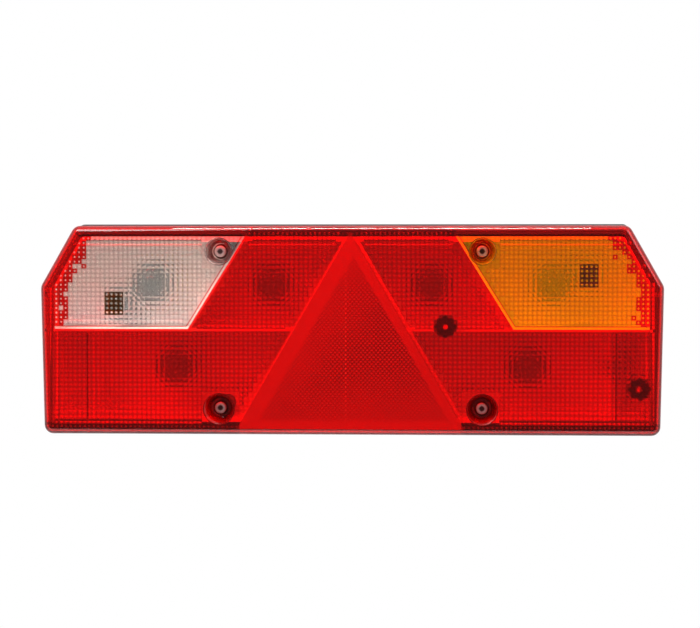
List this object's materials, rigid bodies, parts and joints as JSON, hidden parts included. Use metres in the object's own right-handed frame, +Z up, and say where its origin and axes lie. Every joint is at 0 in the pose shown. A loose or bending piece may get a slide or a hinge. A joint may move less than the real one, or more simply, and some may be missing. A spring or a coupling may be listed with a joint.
{
  "type": "trailer tail light",
  "caption": "Wide trailer tail light: red lens with white and amber windows and a triangular reflector over bayonet bulbs, on a black tray with mounting bolts and a rear plug socket.",
  "frame": {"origin": "middle of the rear mounting face, on the lamp's centre line and level with the lens's split line", "axes": "+X to the right as seen from in front, +Y back through the rear face into the vehicle, +Z up; the lens faces -Y"},
  "size_m": [0.4074, 0.098, 0.1384],
  "materials": {
    "housing_plastic": "moulded, fine grain",
    "carrier_plastic": "smooth white",
    "insulator_board": "hard paper",
    "red_plastic": "smooth",
    "rubber": "matt",
    "zinc_steel": "zinc plated",
    "brass": "rolled strip",
    "brass_cap": "drawn",
    "filament_wire": "wire and glass bead",
    "clear_glass": "clear",
    "red_lens": "clear red, smooth outside",
    "white_lens": "clear, smooth outside",
    "amber_lens": "clear amber, smooth outside"
  },
  "bodies": {
    "housing": {"bolt_cap_left": "rubber", "bolt_cap_right": "rubber", "bolt_washers": "zinc_steel", "carrier_screws": "zinc_steel", "contact_springs": "brass", "earth_strip": "brass", "feed_strips": "brass", "housing": "housing_plastic", "lens_buffer_lower": "rubber", "lens_buffer_upper": "rubber", "marker_filament": "filament_wire", "marker_glass": "clear_glass", "marker_holder": "housing_plastic", "mounting_bolt_left": "zinc_steel", "mounting_bolt_right": "zinc_steel", "plug_pins": "brass", "plug_seal": "rubber", "plug_shell": "housing_plastic", "reflector_carrier": "carrier_plastic", "rim_gasket": "rubber", "socket_fog": "brass", "socket_indicator": "brass", "socket_insulators": "insulator_board", "socket_reverse": "brass", "socket_stop": "brass", "socket_tail_left": "brass", "socket_tail_right": "brass"},
    "lens": {"lens_red": "red_lens", "lens_white": "white_lens", "lens_amber": "amber_lens", "reflex_reflector": "red_lens", "reflex_backing": "red_plastic", "screw_seals": "rubber"},
    "screw_upper_left": {"lens_screw_upper_left": "zinc_steel"},
    "screw_upper_right": {"lens_screw_upper_right": "zinc_steel"},
    "screw_lower_left": {"lens_screw_lower_left": "zinc_steel"},
    "screw_lower_right": {"lens_screw_lower_right": "zinc_steel"},
    "bulb_reverse": {"bulb_cap_reverse": "brass_cap", "bulb_glass_reverse": "clear_glass", "filament_reverse": "filament_wire"},
    "bulb_indicator": {"bulb_cap_indicator": "brass_cap", "bulb_glass_indicator": "clear_glass", "filament_indicator": "filament_wire"},
    "bulb_fog": {"bulb_cap_fog": "brass_cap", "bulb_glass_fog": "clear_glass", "filament_fog": "filament_wire"},
    "bulb_stop": {"bulb_cap_stop": "brass_cap", "bulb_glass_stop": "clear_glass", "filament_stop": "filament_wire"},
    "bulb_tail_left": {"bulb_cap_tail_left": "brass_cap", "bulb_glass_tail_left": "clear_glass", "filament_tail_left": "filament_wire"},
    "bulb_tail_right": {"bulb_cap_tail_right": "brass_cap", "bulb_glass_tail_right": "clear_glass", "filament_tail_right": "filament_wire"}
  },
  "joints": [
    {"name": "lens_lift", "type": "slide", "parent": "housing", "child": "lens", "axis": [0, -1, 0], "range_m": [0, 0.06]},
    {"name": "screw_turn_upper_left", "type": "hinge", "parent": "lens", "child": "screw_upper_left", "pos_m": [-0.08559, -0.06, 0.0513], "axis": [0, -1, 0], "continuous": true},
    {"name": "screw_turn_upper_right", "type": "hinge", "parent": "lens", "child": "screw_upper_right", "pos_m": [0.08559, -0.06, 0.0513], "axis": [0, -1, 0], "continuous": true},
    {"name": "screw_turn_lower_left", "type": "hinge", "parent": "lens", "child": "screw_lower_left", "pos_m": [-0.08559, -0.06, -0.0513], "axis": [0, -1, 0], "continuous": true},
    {"name": "screw_turn_lower_right", "type": "hinge", "parent": "lens", "child": "screw_lower_right", "pos_m": [0.08559, -0.06, -0.0513], "axis": [0, -1, 0], "continuous": true},
    {"name": "bulb_twist_reverse", "type": "hinge", "parent": "housing", "child": "bulb_reverse", "pos_m": [-0.132, -0.02, 0.03], "axis": [0, -1, 0], "range_deg": [0, 20]},
    {"name": "bulb_twist_indicator", "type": "hinge", "parent": "housing", "child": "bulb_indicator", "pos_m": [0.132, -0.02, 0.03], "axis": [0, -1, 0], "range_deg": [0, 20]},
    {"name": "bulb_twist_fog", "type": "hinge", "parent": "housing", "child": "bulb_fog", "pos_m": [-0.0525, -0.02, 0.029], "axis": [0, -1, 0], "range_deg": [0, 20]},
    {"name": "bulb_twist_stop", "type": "hinge", "parent": "housing", "child": "bulb_stop", "pos_m": [0.0525, -0.02, 0.029], "axis": [0, -1, 0], "range_deg": [0, 20]},
    {"name": "bulb_twist_tail_left", "type": "hinge", "parent": "housing", "child": "bulb_tail_left", "pos_m": [-0.116, -0.02, -0.025], "axis": [0, -1, 0], "range_deg": [0, 20]},
    {"name": "bulb_twist_tail_right", "type": "hinge", "parent": "housing", "child": "bulb_tail_right", "pos_m": [0.116, -0.02, -0.025], "axis": [0, -1, 0], "range_deg": [0, 20]}
  ]
}
